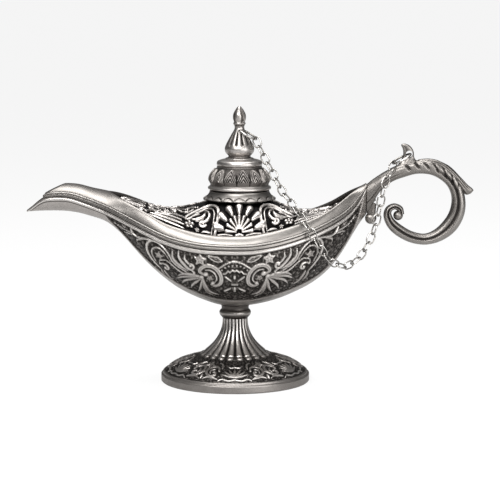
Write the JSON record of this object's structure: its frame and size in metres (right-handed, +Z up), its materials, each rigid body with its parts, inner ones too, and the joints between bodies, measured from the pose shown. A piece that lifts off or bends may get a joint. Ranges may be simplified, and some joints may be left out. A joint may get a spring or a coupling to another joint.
{
  "type": "genie oil lamp",
  "caption": "Boat-shaped oil lamp on a stemmed foot, with a long spout, a domed lid under a finial, a looped handle, and a chain from the lid to the handle.",
  "frame": {"origin": "centre of the ring that the foot rests on", "axes": "+X towards the handle, the spout along -X, +Z up"},
  "size_m": [0.2, 0.067, 0.1241],
  "materials": {
    "antiqued_casting": "relief with dark patina in its hollows and rubbed high places",
    "antiqued_finial": "smooth cast, rubbed bright, dark in its flutes",
    "dark_carving": "deep carving, blackened, with rubbed tops",
    "satin_rim": "satin",
    "satin_casting": "satin with dark patina in its hollows",
    "bright_chain": "bright plated wire",
    "steel_fixings": "plain machined"
  },
  "bodies": {
    "lamp": {"foot": "antiqued_casting", "stem_collar": "satin_casting", "tie_rod": "steel_fixings", "tie_washer": "steel_fixings", "tie_nut": "steel_fixings", "lower_shell": "antiqued_casting", "upper_shell": "satin_rim", "deck_plate": "dark_carving", "neck_collar": "satin_casting", "handle": "satin_casting", "handle_screw": "steel_fixings"},
    "lid": {"lid": "antiqued_casting", "lid_plug": "steel_fixings", "finial": "antiqued_finial", "finial_screw": "steel_fixings"},
    "finial_ring": {"finial_ring": "bright_chain"},
    "handle_ring": {"handle_ring": "bright_chain"},
    "link_31": {"link_31": "bright_chain"},
    "links_28_30": {"link_30": "bright_chain", "link_29": "bright_chain", "link_28": "bright_chain"},
    "links_21_27": {"link_27": "bright_chain", "link_26": "bright_chain", "link_25": "bright_chain", "link_24": "bright_chain", "link_23": "bright_chain", "link_22": "bright_chain", "link_21": "bright_chain"},
    "links_18_20": {"link_20": "bright_chain", "link_19": "bright_chain", "link_18": "bright_chain"},
    "links_15_17": {"link_17": "bright_chain", "link_16": "bright_chain", "link_15": "bright_chain"},
    "links_13_14": {"link_14": "bright_chain", "link_13": "bright_chain"},
    "links_09_12": {"link_12": "bright_chain", "link_11": "bright_chain", "link_10": "bright_chain", "link_09": "bright_chain"},
    "links_05_08": {"link_08": "bright_chain", "link_07": "bright_chain", "link_06": "bright_chain", "link_05": "bright_chain"},
    "links_01_04": {"link_04": "bright_chain", "link_03": "bright_chain", "link_02": "bright_chain", "link_01": "bright_chain"}
  },
  "joints": [
    {"name": "lid_lift", "type": "slide", "parent": "lamp", "child": "lid", "axis": [0, 0, 1], "range_m": [0, 0.02]},
    {"name": "finial_ring_turn", "type": "hinge", "parent": "lid", "child": "finial_ring", "pos_m": [0.002, 0, 0.1135], "axis": [0, -1, 0], "range_deg": [-0.2, 4.2]},
    {"name": "handle_ring_turn", "type": "hinge", "parent": "lamp", "child": "handle_ring", "pos_m": [0.0779, 0, 0.1025], "axis": [0, 1, 0], "range_deg": [-0.2, 15.98]},
    {"name": "chain_swing", "type": "hinge", "parent": "handle_ring", "child": "link_31", "pos_m": [0.0712, -0.00363, 0.09908], "axis": [-0.9846, 0.0478, 0.1679], "range_deg": [0, 25]},
    {"name": "links_28_30_turn", "type": "hinge", "parent": "link_31", "child": "links_28_30", "pos_m": [0.06931, -0.00579, 0.09591], "axis": [-0.1536, -0.9881, -0.0022], "range_deg": [-0.2, 14.46]},
    {"name": "links_21_27_turn", "type": "hinge", "parent": "links_28_30", "child": "links_21_27", "pos_m": [0.0652, -0.00925, 0.08447], "axis": [-0.6527, 0.7485, 0.1168], "range_deg": [-0.2, 17.15]},
    {"name": "links_18_20_turn", "type": "hinge", "parent": "links_21_27", "child": "links_18_20", "pos_m": [0.0549, -0.01468, 0.0577], "axis": [-0.261, 0.9393, -0.2229], "range_deg": [-0.2, 10.89]},
    {"name": "links_15_17_turn", "type": "hinge", "parent": "links_18_20", "child": "links_15_17", "pos_m": [0.04506, -0.02152, 0.05543], "axis": [-0.3327, -0.3154, -0.8887], "range_deg": [-0.2, 17.89]},
    {"name": "links_13_14_turn", "type": "hinge", "parent": "links_15_17", "child": "links_13_14", "pos_m": [0.03715, -0.0263, 0.06409], "axis": [0.8323, -0.3258, 0.4486], "range_deg": [-0.2, 18.1]},
    {"name": "links_09_12_turn", "type": "hinge", "parent": "links_13_14", "child": "links_09_12", "pos_m": [0.03294, -0.0254, 0.07145], "axis": [0.931, 0.0437, 0.3624], "range_deg": [-0.2, 18.89]},
    {"name": "links_05_08_turn", "type": "hinge", "parent": "links_09_12", "child": "links_05_08", "pos_m": [0.02409, -0.01657, 0.08329], "axis": [-0.5801, -0.8007, 0.1494], "range_deg": [-0.2, 10.64]},
    {"name": "links_01_04_turn", "type": "hinge", "parent": "links_05_08", "child": "links_01_04", "pos_m": [0.01636, -0.00764, 0.09574], "axis": [-0.8913, -0.4497, -0.0572], "range_deg": [-0.2, 1.54]}
  ],
  "couplings": [
    {"joint": "finial_ring_turn", "follows": "lid_lift", "rad_per_m": 3.4907},
    {"joint": "handle_ring_turn", "follows": "lid_lift", "rad_per_m": 13.771},
    {"joint": "links_28_30_turn", "follows": "lid_lift", "rad_per_m": 12.444},
    {"joint": "links_21_27_turn", "follows": "lid_lift", "rad_per_m": 14.794},
    {"joint": "links_18_20_turn", "follows": "lid_lift", "rad_per_m": 9.3285},
    {"joint": "links_15_17_turn", "follows": "lid_lift", "rad_per_m": 15.438},
    {"joint": "links_13_14_turn", "follows": "lid_lift", "rad_per_m": 15.617},
    {"joint": "links_09_12_turn", "follows": "lid_lift", "rad_per_m": 16.311},
    {"joint": "links_05_08_turn", "follows": "lid_lift", "rad_per_m": 9.108},
    {"joint": "links_01_04_turn", "follows": "lid_lift", "rad_per_m": 1.1726}
  ]
}
